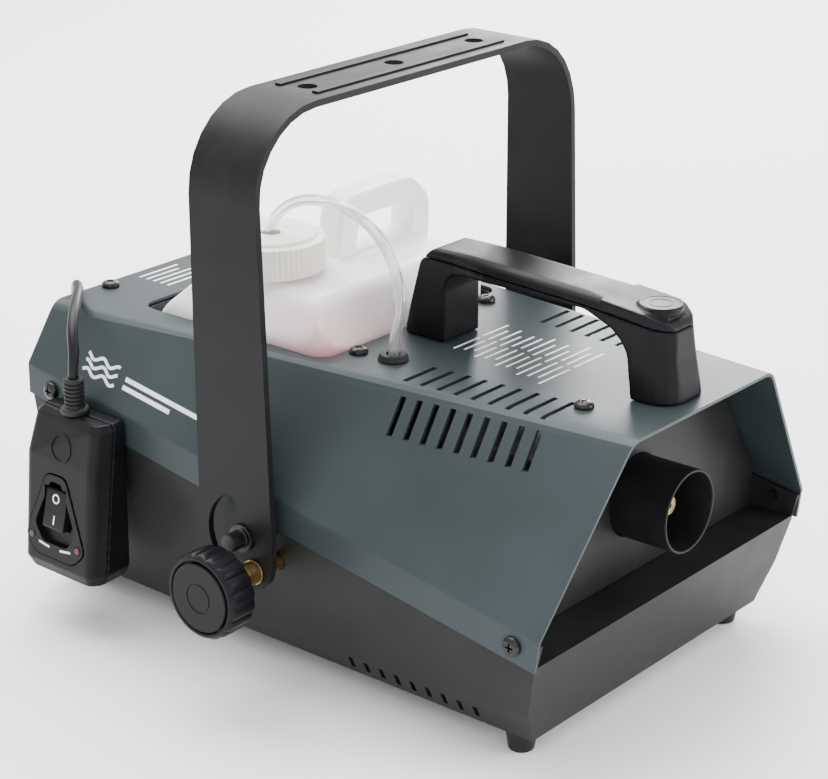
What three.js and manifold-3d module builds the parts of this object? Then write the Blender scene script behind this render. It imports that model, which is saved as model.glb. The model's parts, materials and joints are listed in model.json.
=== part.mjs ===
// A fog machine: a folded sheet metal case with a tilting yoke, a drop-in fluid tank and a wired remote.
//
// Millimetres, +Z up, +X to the machine's right, -Y the side that the fog leaves by. The case is
// drawn from the underside of its bottom sheet, and the last lines stand it on its feet with the
// origin under the middle of the whole machine.

import * as THREE from 'three';
import { mergeVertices } from 'three/addons/utils/BufferGeometryUtils.js';
import Module from 'manifold-3d';

const wasm = await Module();
wasm.setup();

// ---------------------------------------------------------------- driving dimensions

const GAP = 0.3; // left between pieces that touch
const SHEET = 1.5; // case sheet thickness

// Top cover. It is a ridge that gets wider, shallower and higher-sided toward the rear.
const CASE_HALF = 100;
const CASE_REAR = 136.6;
const TOP_Z = 127.9;
const FRONT_EDGE_Y = -156.3; // front edge at the height of the lower bend
const FRONT_LEAN = 0.12; // forward lean of the front edge for each millimetre of height
const FOLD_Z_FRONT = 54.8; // lower bend at the front edge
const FOLD_Z_REAR = 102.1;
const FLANGE = 14.4; // upright flange below the lower bend
const TOP_HALF_FRONT = 51.9; // where the slanted side and the top would meet
const TOP_HALF_REAR = 81.9;
const TOP_BEND = 9; // radius of the upper bend
const FOLD_R = 3; // radius of the lower bend
const SCREW_HOLE_R = 2.3;
const FRONT_TOP_Y = FRONT_EDGE_Y - FRONT_LEAN * (TOP_Z - FOLD_Z_FRONT);

// Lower chassis
const TUB_HALF = 98;
const TUB_TAPER = 0.16; // inward slope of the sides for each millimetre down
const TUB_TAB = 12; // stretch of side that stands up behind the flange
const TUB_BOTTOM_HALF = 85;
const TUB_CHAMFER = 18.4; // height of the bottom chamfer at the front
const LIP_Y = -153.4;
const LIP_Z = 41.7;
const LIP_LEAN = 0.24;
const PANEL_Y = -132; // front face of the recessed panel
const REAR_PANEL_Y = 134.5; // rear face of the rear panel

// Feet
const FOOT_HEIGHT = 10;
const FOOT_X = 77;
const FOOT_FRONT_Y = -132;
const FOOT_REAR_Y = 122;

// Nozzle
const NOZZLE_Z = 78.5;
const NOZZLE_R = 18.4;
const NOZZLE_MOUTH_Y = -160;

// Yoke and its clamp
const YOKE_HALF = 109.5;
const YOKE_TOP = 245;
const YOKE_THICK = 3;
const YOKE_CORNER = 38;
const PIVOT = { y: -5.6, z: 59.5 };
const STUD = { y: -12.6, z: 45.7 };
const CLAMP_R = Math.hypot(STUD.y - PIVOT.y, STUD.z - PIVOT.z);
const CLAMP_SLOT = 8.6;
const KNOB_R = 19.2;
const KNOB_FACE_R = 15.3;
const KNOB_IN = 129; // inner face of the knob
const KNOB_OUT = 142;
const KNOB_SHOULDER_R = 18.2;
const HANGING_HOLE_R = 4.4;

// Tank well and tank
const WELL = { x: 62, front: -10.5, rear: 101, corner: 8 };
const TANK = { x: 60, front: -8.3, rear: 99, floor: 60, shoulder: 150 };
const ARCH = { front: 30, rear: 44 };
const CAP = { x: -34, y: 45, r: 24.5, low: 152, high: 168, hole: 4.4, ribs: 24, ribDepth: 0.9 };
const HOSE_R = 2.5;
const GROMMET = { x: -42, y: -33 };

// Remote
const REMOTE = { back: -100.6, front: 75, rear: 119, low: 13, high: 90.5 };
const FACE = { x: -122, y: 98, z: 48.5, lean: 0.085, yaw: 0.02 }; // outer face of the remote
const RELIEF = { x: -109, y: 96.4, high: 107 };
const CORD_R = 2.5;
const COIL = { x: 38, y: 188, inner: 17.5, outer: 39, height: 20 };
const SOCKET = { x: 38, z: 48 };
const ROCKER = { half: 6.8, low: 37.8, middle: 47, high: 56.2, back: 6.4 };
const TIE_HALF = 3.2;

const REARMOST_Y = 143; // face of the fuse cap

// ---------------------------------------------------------------- geometry helpers

const rad = THREE.MathUtils.degToRad;
const vec = (x, y, z) => new THREE.Vector3(x, y, z);

// A geometry with only shared vertices, no empty triangles, and its faces pointing out
function tidied(geometry) {
  const bare = new THREE.BufferGeometry();
  bare.setAttribute('position', geometry.getAttribute('position').clone());
  if (geometry.index) bare.setIndex(geometry.index.clone());
  const merged = mergeVertices(bare, 1e-3);
  const position = merged.getAttribute('position');
  const index = [];
  let volume = 0;
  for (let i = 0; i < merged.index.count; i += 3) {
    const [a, b, c] = [0, 1, 2].map((k) => merged.index.getX(i + k));
    if (a === b || b === c || c === a) continue;
    index.push(a, b, c);
    const [p, q, r] = [a, b, c].map((v) => new THREE.Vector3().fromBufferAttribute(position, v));
    volume += p.dot(q.cross(r));
  }
  if (volume < 0) index.reverse();
  merged.setIndex(index);
  return merged;
}

function solid(geometry) {
  const mesh = tidied(geometry);
  const vertProperties = new Float32Array(mesh.getAttribute('position').array);
  const triVerts = new Uint32Array(mesh.index.array);
  return new wasm.Manifold(new wasm.Mesh({ numProp: 3, vertProperties, triVerts }));
}

function geometryOf(manifold) {
  const mesh = manifold.getMesh();
  const geometry = new THREE.BufferGeometry();
  geometry.setAttribute('position', new THREE.Float32BufferAttribute(mesh.vertProperties, 3));
  geometry.setIndex(Array.from(mesh.triVerts));
  return geometry;
}

const combine = (method) => (first, ...others) =>
  geometryOf(others.flat().reduce((sum, other) => sum[method](solid(other)), solid(first)));
const cut = combine('subtract');
const join = combine('add');
const meet = combine('intersect');

function box(x0, x1, y0, y1, z0, z1) {
  const geometry = new THREE.BoxGeometry(x1 - x0, y1 - y0, z1 - z0);
  return geometry.translate((x0 + x1) / 2, (y0 + y1) / 2, (z0 + z1) / 2);
}

const AXES = {
  x: new THREE.Matrix4().makeBasis(vec(0, 1, 0), vec(0, 0, 1), vec(1, 0, 0)),
  y: new THREE.Matrix4().makeBasis(vec(0, 0, 1), vec(1, 0, 0), vec(0, 1, 0)),
  z: new THREE.Matrix4(),
};

// An outline pushed along an axis. Its points are (y, z) along x, (z, x) along y and (x, y) along z.
function prism(axis, outline, from, to) {
  const shape = outline instanceof THREE.Shape ? outline : new THREE.Shape(outline);
  const options = { depth: to - from, bevelEnabled: false, curveSegments: 8 };
  const geometry = new THREE.ExtrudeGeometry(shape, options).translate(0, 0, from);
  return geometry.applyMatrix4(AXES[axis]);
}

// A solid of revolution about an axis. Profile points are (radius, distance along the axis).
function turned(axis, profile, segments = 32) {
  const geometry = new THREE.LatheGeometry(profile.map(([r, s]) => new THREE.Vector2(r, s)), segments);
  return tidied(geometry.rotateX(Math.PI / 2)).applyMatrix4(AXES[axis]);
}

const disc = (axis, r, from, to, segments = 32) =>
  turned(axis, [[0, from], [r, from], [r, to], [0, to]], segments);

const ring = (axis, inner, outer, from, to, segments = 32) =>
  turned(axis, [[inner, from], [outer, from], [outer, to], [inner, to], [inner, from]], segments);

// Outline with each corner rounded to its own radius
function rounded(corners, steps = 6) {
  const points = [];
  corners.forEach(([x, y, radius = 0], i) => {
    const before = corners[(i + corners.length - 1) % corners.length];
    const after = corners[(i + 1) % corners.length];
    const here = new THREE.Vector2(x, y);
    const back = new THREE.Vector2(before[0] - x, before[1] - y).normalize();
    const ahead = new THREE.Vector2(after[0] - x, after[1] - y).normalize();
    if (!radius) {
      points.push(here);
      return;
    }
    const half = Math.acos(THREE.MathUtils.clamp(back.dot(ahead), -1, 1)) / 2;
    const middle = back.clone().add(ahead).normalize().multiplyScalar(radius / Math.sin(half)).add(here);
    const start = back.multiplyScalar(radius / Math.tan(half)).add(here).sub(middle);
    const end = ahead.multiplyScalar(radius / Math.tan(half)).add(here).sub(middle);
    let turn = Math.atan2(end.y, end.x) - Math.atan2(start.y, start.x);
    turn = THREE.MathUtils.euclideanModulo(turn + Math.PI, 2 * Math.PI) - Math.PI;
    if (Math.abs(turn) * radius < 0.6) {
      points.push(here);
      return;
    }
    for (let step = 0; step <= steps; step += 1) {
      points.push(start.clone().rotateAround(new THREE.Vector2(), (turn * step) / steps).add(middle));
    }
  });
  return points;
}

const roundedBox = (x0, x1, y0, y1, z0, z1, radius, steps = 4) =>
  prism('z', rounded([[x0, y0, radius], [x1, y0, radius], [x1, y1, radius], [x0, y1, radius]], steps), z0, z1);

// Closed outline moved inward by a distance, corners kept sharp
function inset(points, distance) {
  return points.map((point, i) => {
    const before = points[(i + points.length - 1) % points.length];
    const after = points[(i + 1) % points.length];
    const inwards = [[before, point], [point, after]].map(([a, b]) => {
      const along = b.clone().sub(a).normalize();
      return new THREE.Vector2(-along.y, along.x);
    });
    const sum = inwards[0].clone().add(inwards[1]);
    return sum.multiplyScalar((2 * distance) / sum.lengthSq()).add(point);
  });
}

// Solid through outlines of equal length, each in the XZ plane at its own y
function loft(stations) {
  const positions = [];
  const index = [];
  const count = stations[0].points.length;
  stations.forEach(({ y, points }) => points.forEach((p) => positions.push(p.x, y, p.y)));
  for (let s = 0; s + 1 < stations.length; s += 1) {
    for (let i = 0; i < count; i += 1) {
      const a = s * count + i;
      const b = s * count + ((i + 1) % count);
      index.push(a, b, b + count, a, b + count, a + count);
    }
  }
  const ends = THREE.ShapeUtils.triangulateShape(stations[0].points, []);
  const last = (stations.length - 1) * count;
  ends.forEach(([a, b, c]) => index.push(a, c, b, last + a, last + b, last + c));
  const geometry = new THREE.BufferGeometry();
  geometry.setAttribute('position', new THREE.Float32BufferAttribute(positions, 3));
  geometry.setIndex(index);
  return tidied(geometry);
}

// Solid through anticlockwise outlines of equal length, each in the XY plane at its own z
const UPRIGHT = new THREE.Matrix4().makeBasis(vec(1, 0, 0), vec(0, 0, 1), vec(0, 1, 0));
const stack = (levels) =>
  tidied(loft(levels.map(({ z, points }) => ({ y: z, points }))).applyMatrix4(UPRIGHT));

// Round bar along a smooth curve through points
function tube(points, radius, steps, sides = 8) {
  const circle = new THREE.Shape();
  for (let i = 0; i < sides; i += 1) {
    const angle = (2 * Math.PI * i) / sides;
    const place = [radius * Math.cos(angle), radius * Math.sin(angle)];
    if (i === 0) circle.moveTo(...place);
    else circle.lineTo(...place);
  }
  const path = new THREE.CatmullRomCurve3(points.map((p) => vec(...p)), false, 'centripetal');
  return new THREE.ExtrudeGeometry(circle, { steps, extrudePath: path, bevelEnabled: false });
}

// ---------------------------------------------------------------- case outlines

const along = (y, y0, v0, y1, v1) => v0 + ((v1 - v0) * (y - y0)) / (y1 - y0);
const foldZ = (y) => along(y, FRONT_EDGE_Y, FOLD_Z_FRONT, CASE_REAR, FOLD_Z_REAR);
const flangeZ = (y) => foldZ(y) - FLANGE;
const topHalf = (y) => along(y, FRONT_TOP_Y, TOP_HALF_FRONT, CASE_REAR, TOP_HALF_REAR);
const chamferZ = (y) => Math.max(0.2, along(y, LIP_Y, TUB_CHAMFER, CASE_REAR, 0));
const tubHalf = (y, z) => TUB_HALF - TUB_TAPER * Math.max(0, flangeZ(y) - z);
const STATIONS = [-175, -70, 35, CASE_REAR];
const ROOM_STATIONS = [-180, -70, 35, CASE_REAR + 5];

// Cover outline at y, anticlockwise seen from the front, open side (lowZ) included
function coverOutline(y, lowZ = flangeZ(y)) {
  const side = CASE_HALF;
  return rounded([
    [-side, lowZ], [side, lowZ], [side, foldZ(y), FOLD_R],
    [topHalf(y), TOP_Z, TOP_BEND], [-topHalf(y), TOP_Z, TOP_BEND], [-side, foldZ(y), FOLD_R],
  ], 3);
}

// Tub outline at y, or the outline of the room inside it
function tubOutline(y, { highZ = flangeZ(y) + TUB_TAB, sheet = 0, chamfer = chamferZ(y) } = {}) {
  const bottom = Math.min(TUB_BOTTOM_HALF, tubHalf(y, chamfer) - 0.4);
  const outline = [
    [bottom - 0.6 * sheet, sheet], [tubHalf(y, chamfer) - sheet, Math.max(chamfer + 0.4 * sheet, sheet + 0.1)],
    [TUB_HALF - sheet, flangeZ(y)], [TUB_HALF - sheet, highZ],
  ];
  const mirrored = outline.map(([x, z]) => [-x, z]).reverse();
  return [...outline, ...mirrored].map(([x, z]) => new THREE.Vector2(x, z));
}

// Everything behind the leaning front edge, moved back by a distance
function behindEdge(edgeY, edgeZ, lean, back = 0) {
  const at = (z) => edgeY - lean * (z - edgeZ) + back;
  return prism('x', [[at(-20), -20], [200, -20], [200, 160], [at(160), 160]]
    .map(([y, z]) => new THREE.Vector2(y, z)), -150, 150);
}

// Upright plate that fills the case from side to side at y
function casePlate(y, thickness, lowZ) {
  const clear = SHEET + 2 * GAP;
  const cover = inset(coverOutline(y, -20), clear);
  const tub = tubOutline(y, { highZ: 160, sheet: clear, chamfer: 0.2 });
  const plate = (outline) => prism('y', outline.map((p) => new THREE.Vector2(p.y, p.x)), y, y + thickness);
  const kept = box(-150, 150, y - 1, y + thickness + 1, lowZ, 160);
  return meet(plate(cover), plate(tub), kept);
}

// ---------------------------------------------------------------- materials

const finish = (color, roughness, metalness = 0) => ({ color, roughness, metalness });
const FINISHES = {
  teal: finish(0x3a4d52, 0.45, 0.3),
  black: finish(0x1b1c1e, 0.6, 0.2),
  blackPlastic: finish(0x17181a, 0.55),
  rubber: finish(0x111111, 0.9),
  steel: finish(0xb9bcc0, 0.35, 0.9),
  brass: finish(0xb58a3a, 0.3, 1),
  copper: finish(0xb0693c, 0.3, 1),
  white: finish(0xe9e7dd, 0.5),
  clear: finish(0xdfe4e2, 0.2),
  red: finish(0x501413, 0.3),
  green: finish(0x14401c, 0.3),
  board: finish(0x1d5a34, 0.6),
};

const machine = new THREE.Group();
machine.name = 'fog_machine';

function add(name, geometry, look, parent = machine) {
  const mesh = new THREE.Mesh(tidied(geometry), new THREE.MeshStandardMaterial(FINISHES[look]));
  mesh.name = name;
  parent.add(mesh);
  return mesh;
}

const SIDES = [['left', -1], ['right', 1]];
const range = (count) => Array.from({ length: count }, (_, i) => i);

// ---------------------------------------------------------------- case

const SLOTS = 9;
const TOP_SCREWS = [[52, 131], [45, -16], [34, -128]];
const FLANGE_SCREWS = [['front', -143.5, 49.8], ['rear', 121.3, 92.3]];

function topCover() {
  const outside = loft(STATIONS.map((y) => ({ y, points: coverOutline(y) })));
  const hollow = loft(ROOM_STATIONS.map((y) => ({ y, points: inset(coverOutline(y, flangeZ(y) - 5), SHEET) })));
  const cuts = [roundedBox(-WELL.x, WELL.x, WELL.front, WELL.rear, TOP_Z - 5, TOP_Z + 5, WELL.corner)];
  for (const i of range(SLOTS)) {
    const top = along(i, 0, -53, SLOTS - 1, -122);
    const outer = along(i, 0, 58.5, SLOTS - 1, 54.5);
    const inner = along(i, 0, 37.5, SLOTS - 1, 32.5);
    const side = along(i, 0, -58, SLOTS - 1, -124);
    for (const [, sign] of SIDES) {
      const [x0, x1] = [sign * outer, sign * inner].sort((a, b) => a - b);
      cuts.push(box(x0, x1, top - 1.25, top + 1.25, TOP_Z - 4, TOP_Z + 4));
      const [s0, s1] = [sign * 50, sign * 99].sort((a, b) => a - b);
      cuts.push(box(s0, s1, side - 1.4, side + 1.4, 109, 124));
    }
  }
  for (const [, sign] of SIDES) {
    TOP_SCREWS.forEach(([x, y]) => {
      cuts.push(disc('z', SCREW_HOLE_R, TOP_Z - 4, TOP_Z + 4, 8).translate(sign * x, y, 0));
    });
    FLANGE_SCREWS.forEach(([, y, z]) => {
      cuts.push(disc('x', SCREW_HOLE_R, 97, 103, 8).translate(0, y, z).scale(sign, 1, 1));
    });
  }
  cuts.push(disc('z', 5.3, TOP_Z - 4, TOP_Z + 4, 16).translate(GROMMET.x, GROMMET.y, 0));
  const shell = cut(outside, hollow);
  return cut(meet(shell, behindEdge(FRONT_EDGE_Y, FOLD_Z_FRONT, FRONT_LEAN)), cuts);
}

function lowerChassis() {
  const outside = loft(STATIONS.map((y) => ({ y, points: tubOutline(y) })));
  const hollow = loft(ROOM_STATIONS.map((y) =>
    ({ y, points: tubOutline(y, { highZ: flangeZ(y) + 40, sheet: SHEET }) })));
  const tub = meet(outside, behindEdge(LIP_Y, LIP_Z, LIP_LEAN));
  const room = meet(hollow, behindEdge(LIP_Y, LIP_Z, LIP_LEAN, SHEET));
  const inside = TUB_HALF - SHEET;
  const mouth = box(-inside, inside, -180, LIP_Y + 10, LIP_Z, LIP_Z + 30);
  const shelfHalf = tubHalf(LIP_Y, LIP_Z) - 1;
  const shelf = box(-shelfHalf, shelfHalf, LIP_Y + 0.6, PANEL_Y + 3, LIP_Z - SHEET, LIP_Z);
  const cuts = [];
  for (const i of range(SLOTS)) {
    const y = along(i, 0, -48.5, SLOTS - 1, -116.5);
    cuts.push(box(-100, -80, y - 1.25, y + 1.25, 3, 8.5), box(80, 100, y - 1.25, y + 1.25, 3, 8.5));
  }
  for (const [, sign] of SIDES) {
    FLANGE_SCREWS.forEach(([, y, z]) => {
      cuts.push(disc('x', SCREW_HOLE_R, 90, 103, 8).translate(0, y, z).scale(sign, 1, 1));
    });
    cuts.push(disc('x', 3.4, 90, 103, 16).translate(0, PIVOT.y, PIVOT.z).scale(sign, 1, 1));
    cuts.push(disc('x', 4.4, 90, 103, 16).translate(0, STUD.y, STUD.z).scale(sign, 1, 1));
    for (const y of [FOOT_FRONT_Y, FOOT_REAR_Y]) {
      cuts.push(disc('z', 2.3, -4, 4, 8).translate(sign * FOOT_X, y, 0));
    }
  }
  return cut(join(cut(tub, room, mouth), shelf), cuts);
}

function frontPanel() {
  const hole = disc('y', NOZZLE_R + GAP, PANEL_Y - 3, PANEL_Y + 5, 28).translate(0, 0, NOZZLE_Z);
  return cut(casePlate(PANEL_Y, SHEET, LIP_Z + GAP), hole);
}

function rearPanel() {
  const socket = disc('y', 8.3, REAR_PANEL_Y - 5, REAR_PANEL_Y + 5, 24).translate(SOCKET.x, 0, SOCKET.z);
  const inlet = box(-54.3, -25.7, REAR_PANEL_Y - 5, REAR_PANEL_Y + 5, 37.7, 58.3);
  const fuse = disc('y', 6.3, REAR_PANEL_Y - 5, REAR_PANEL_Y + 5, 24).translate(-66, 0, 48);
  return cut(casePlate(REAR_PANEL_Y - SHEET, SHEET, SHEET + GAP), socket, inlet, fuse);
}

function tankTray() {
  const wall = 1.2;
  const rim = TOP_Z - SHEET - GAP;
  const [x, front, rear] = [WELL.x - 0.4, WELL.front + 0.4, WELL.rear - 0.4];
  const outside = join(
    roundedBox(-x, x, front, rear, TANK.floor - GAP - wall, rim, WELL.corner),
    box(-38, 38, front - 5, rear + 8, rim - wall, rim),
  );
  return cut(outside, roundedBox(-x + wall, x - wall, front + wall, rear - wall,
    TANK.floor - GAP, rim + 5, WELL.corner - wall));
}

add('top_cover', topCover(), 'teal');
add('lower_chassis', lowerChassis(), 'black');
add('front_panel', frontPanel(), 'black');
add('rear_panel', rearPanel(), 'black');
add('tank_tray', tankTray(), 'black');

for (const [side, sign] of SIDES) {
  for (const [end, y] of [['front', FOOT_FRONT_Y], ['rear', FOOT_REAR_Y]]) {
    const profile = [[0, -FOOT_HEIGHT], [5.5, -FOOT_HEIGHT], [7, -GAP], [1.9, -GAP], [1.9, 6], [0, 6]];
    add(`foot_${end}_${side}`, turned('z', profile, 14), 'rubber').position.set(sign * FOOT_X, y, 0);
  }
}

const panHead = [[0, 2.7], [3, 2.2], [4.25, GAP], [1.9, GAP], [1.9, -5], [0, -5]];
for (const [side, sign] of SIDES) {
  ['rear', 'middle', 'front'].forEach((place, i) => {
    const [x, y] = TOP_SCREWS[i];
    add(`top_screw_${place}_${side}`, turned('z', panHead, 10), 'black').position.set(sign * x, y, TOP_Z);
  });
  for (const [place, y, z] of FLANGE_SCREWS) {
    const screw = add(`flange_screw_${place}_${side}`, turned('z', panHead, 10), 'black');
    screw.rotation.y = (sign * Math.PI) / 2;
    screw.position.set(sign * CASE_HALF, y, z);
  }
}

// ---------------------------------------------------------------- nozzle and works

const nozzleProfile = [
  [6.4, -PANEL_Y - 8], [NOZZLE_R + 4, -PANEL_Y - 8], [NOZZLE_R + 4, -PANEL_Y - SHEET - GAP],
  [NOZZLE_R, -PANEL_Y - SHEET - GAP], [NOZZLE_R, -NOZZLE_MOUTH_Y], [NOZZLE_R - 1.2, -NOZZLE_MOUTH_Y],
  [NOZZLE_R - 1.2, -PANEL_Y - 6], [6.4, -PANEL_Y - 6], [6.4, -PANEL_Y - 8],
].map(([r, s]) => [r, -s]);
add('nozzle_shroud', turned('y', nozzleProfile, 28), 'black').position.z = NOZZLE_Z;

const tipProfile = [[0, -112.5], [6, -112.5], [6, -146], [4, -150], [1.2, -150], [1.2, -140], [0, -140]];
add('nozzle_tip', turned('y', tipProfile, 14), 'brass').position.z = NOZZLE_Z;

const heater = roundedBox(-36, 36, -112, -20, 58, 98, 6, 2);
add('heater_block', heater, 'steel');
const pump = join(disc('y', 17, 30, 92, 18), disc('y', 6, 22, 31, 12), box(-19, 19, 45, 78, -23.5, -10));
add('pump', pump.translate(-20, 0, 27), 'black');
const pipeRoute = [
  [-20, 21.6, 27], [-20, 8, 27], [-20, -6, 30], [-20, -12.5, 40], [-20, -12.5, 58],
  [-20, -14.5, 67], [-20, -18.4, 70],
];
add('delivery_pipe', tube(pipeRoute, 2, 16), 'copper');
const boardParts = [box(30, 78, 20, 104, 12, 14), box(36, 58, 60, 92, 13, 34), box(60, 74, 26, 56, 13, 30)];
add('control_board', join(...boardParts), 'board');

// ---------------------------------------------------------------- carry handle

// Side outline of the handle, from the rear foot over the top to the front foot and back underneath
const handleOutline = rounded([
  [-14, TOP_Z + GAP], [-23, 163, 6], [-29.5, 170, 6], [-50, 170.2, 20], [-110, 168.1, 20], [-142, 165.3, 8],
  [-153, 160.6, 5], [-154.5, 146, 20], [-158, TOP_Z + GAP],
  [-138, TOP_Z + GAP], [-134, 149, 12], [-126, 156, 10], [-112, 161.4, 14], [-37, 161, 9], [-37, TOP_Z + GAP],
], 4);

// Plan outline of the handle at a height, where its front leg has its own half width and corners
const handlePlan = (z, frontY, frontHalf, corner) => ({
  z,
  points: rounded([
    [-12.5, -10, 9], [-12.5, -42], [-14, -60], [-14, -118], [-frontHalf, -138],
    [-frontHalf, frontY, corner], [frontHalf, frontY, corner],
    [frontHalf, -138], [14, -118], [14, -60], [12.5, -42], [12.5, -10, 9],
  ], 4),
});

// Cross section of the handle at y, with its long top edges rounded
const handleSection = (y, half, topZ) => ({
  y,
  points: rounded([[-half, 100], [half, 100], [half, topZ, 5], [-half, topZ, 5]], 3),
});

const seamLine = [[-10, 165.4], [-50, 165], [-110, 162.9], [-142, 160.1], [-170, 155.4]];

function handleParts() {
  const profile = prism('x', handleOutline, -20, 20);
  const plan = stack([
    handlePlan(100, -158.2, 16.4, 12), handlePlan(TOP_Z, -158.2, 16, 12), handlePlan(150, -155.2, 14.6, 13),
    handlePlan(162, -154, 14.2, 13.8), handlePlan(200, -154, 14.2, 13.8),
  ]);
  const section = loft([
    handleSection(-170, 18.6, 166.2), handleSection(-142, 18.3, 166.2), handleSection(-110, 18, 168.1),
  ]);
  const grip = loft([
    handleSection(-127, 14.2, 167.2), handleSection(-110, 14.2, 168.1), handleSection(-50, 14.2, 170.2),
    handleSection(-5, 13, 170.4),
  ]);
  const above = (lift) => prism('x', [...seamLine.map(([y, z]) => [y, z + lift]), [-170, 200], [-10, 200]]
    .map(([y, z]) => new THREE.Vector2(y, z)), -30, 30);
  const rear = meet(profile, plan, grip);
  const front = meet(profile, plan, section, box(-30, 30, -170, -120, 100, 200));
  const whole = join(rear, front);
  const upper = meet(whole, above(GAP / 2));
  const pad = disc('z', 9.5, 163.5, 166.9, 28).translate(0, -141, 0);
  return { lower: cut(whole, above(-GAP / 2)), upper: join(upper, pad) };
}

const handle = handleParts();
add('carry_handle', handle.lower, 'blackPlastic');
add('carry_handle_cap', handle.upper, 'blackPlastic');

// ---------------------------------------------------------------- yoke and clamps

function yoke() {
  const hoop = (half, top, corner, low) => prism('y', rounded([
    [low, half], [top, half, corner], [top, -half, corner], [low, -half],
  ], 7), -40, 40);
  const inner = hoop(YOKE_HALF - YOKE_THICK, YOKE_TOP - YOKE_THICK, YOKE_CORNER - YOKE_THICK, 0);
  const strap = cut(hoop(YOKE_HALF, YOKE_TOP, YOKE_CORNER, 10), inner);
  const side = prism('x', rounded([
    [20.7, 260], [-16.3, 260], [-16.3, 219, 30], [-22.8, 60, 10], [-22.8, 36, 14], [19.2, 36, 16],
    [19.2, 70, 20],
    [20.7, 219, 30],
  ], 3), -150, 150);
  const cuts = [];
  for (const x of [-56, 0, 56]) {
    cuts.push(disc('z', HANGING_HOLE_R, YOKE_TOP - 8, YOKE_TOP + 4, 14).translate(x, 2.2, 0));
  }
  cuts.push(disc('x', 3.4, -120, 120, 14).translate(0, PIVOT.y, PIVOT.z));
  const slot = new THREE.Shape();
  const [from, to] = [rad(-121), rad(60)];
  const end = (angle, r) => [PIVOT.y + r * Math.cos(angle), PIVOT.z + r * Math.sin(angle)];
  slot.absarc(PIVOT.y, PIVOT.z, CLAMP_R + CLAMP_SLOT / 2, from, to, false);
  slot.absarc(...end(to, CLAMP_R), CLAMP_SLOT / 2, to, to + Math.PI, false);
  slot.absarc(PIVOT.y, PIVOT.z, CLAMP_R - CLAMP_SLOT / 2, to, from, true);
  slot.absarc(...end(from, CLAMP_R), CLAMP_SLOT / 2, from + Math.PI, from + 2 * Math.PI, false);
  cuts.push(prism('x', slot, -120, 120));
  const ribs = [-8.2, 12.6].map((y) => box(-63, 63, y - 1.6, y + 1.6, YOKE_TOP - 1, YOKE_TOP + 0.9));
  return join(cut(meet(strap, side), cuts), ribs);
}

add('yoke', yoke(), 'black');

function pivotBolt() {
  const outer = YOKE_HALF + GAP;
  const inner = YOKE_HALF - YOKE_THICK - GAP;
  return turned('x', [
    [0, 90], [3, 90], [3, CASE_HALF + GAP], [6.5, CASE_HALF + GAP], [6.5, inner], [3.2, inner],
    [3.2, outer], [6.5, outer], [6.5, outer + 1.2], [4.1, outer + 1.2], [4.1, YOKE_HALF + 9],
    [0, YOKE_HALF + 9],
  ], 14);
}

function knobBody() {
  const flutes = 18;
  const outline = range(flutes * 2).map((i) => {
    const angle = (Math.PI * i) / flutes;
    const r = KNOB_R - (i % 2) * 0.7;
    return new THREE.Vector2(r * Math.cos(angle), r * Math.sin(angle));
  });
  const rim = prism('x', outline, KNOB_IN, KNOB_OUT);
  const shoulder = turned('x', [
    [0, KNOB_OUT - 1], [KNOB_SHOULDER_R, KNOB_OUT - 1], [KNOB_SHOULDER_R - 0.8, KNOB_OUT + 1.4],
    [0, KNOB_OUT + 1.4],
  ], 24);
  const groove = ring('x', KNOB_FACE_R, KNOB_FACE_R + 0.9, KNOB_OUT - 1.5, KNOB_OUT + 3, 24);
  const face = disc('x', KNOB_FACE_R, KNOB_OUT, KNOB_OUT + 2, 24);
  const hub = disc('x', 9, 120.6, KNOB_IN + 1, 16);
  const bore = disc('x', 4.3, 110, 138, 12);
  return cut(join(rim, shoulder, face, hub), groove, bore);
}

function knobStud() {
  return turned('x', [
    [0, 88], [4, 88], [4, YOKE_HALF + 1.8], [5.2, YOKE_HALF + 1.8], [5.2, 120.3], [4, 120.3],
    [4, 137.5], [0, 137.5],
  ], 14);
}

for (const [side, sign] of SIDES) {
  const mirror = (geometry) => geometry.clone().scale(sign, 1, 1);
  add(`pivot_bolt_${side}`, mirror(pivotBolt()), 'black').position.set(0, PIVOT.y, PIVOT.z);
  const washer = ring('x', 4.3, 5.6, YOKE_HALF + GAP, YOKE_HALF + 1.5, 14);
  add(`knob_washer_${side}`, mirror(washer), 'brass').position.set(0, STUD.y, STUD.z);
  add(`knob_stud_${side}`, mirror(knobStud()), 'brass').position.set(0, STUD.y, STUD.z);
  add(`knob_${side}`, mirror(knobBody()), 'blackPlastic').position.set(0, STUD.y, STUD.z);
}

// ---------------------------------------------------------------- tank, cap and hose

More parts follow.
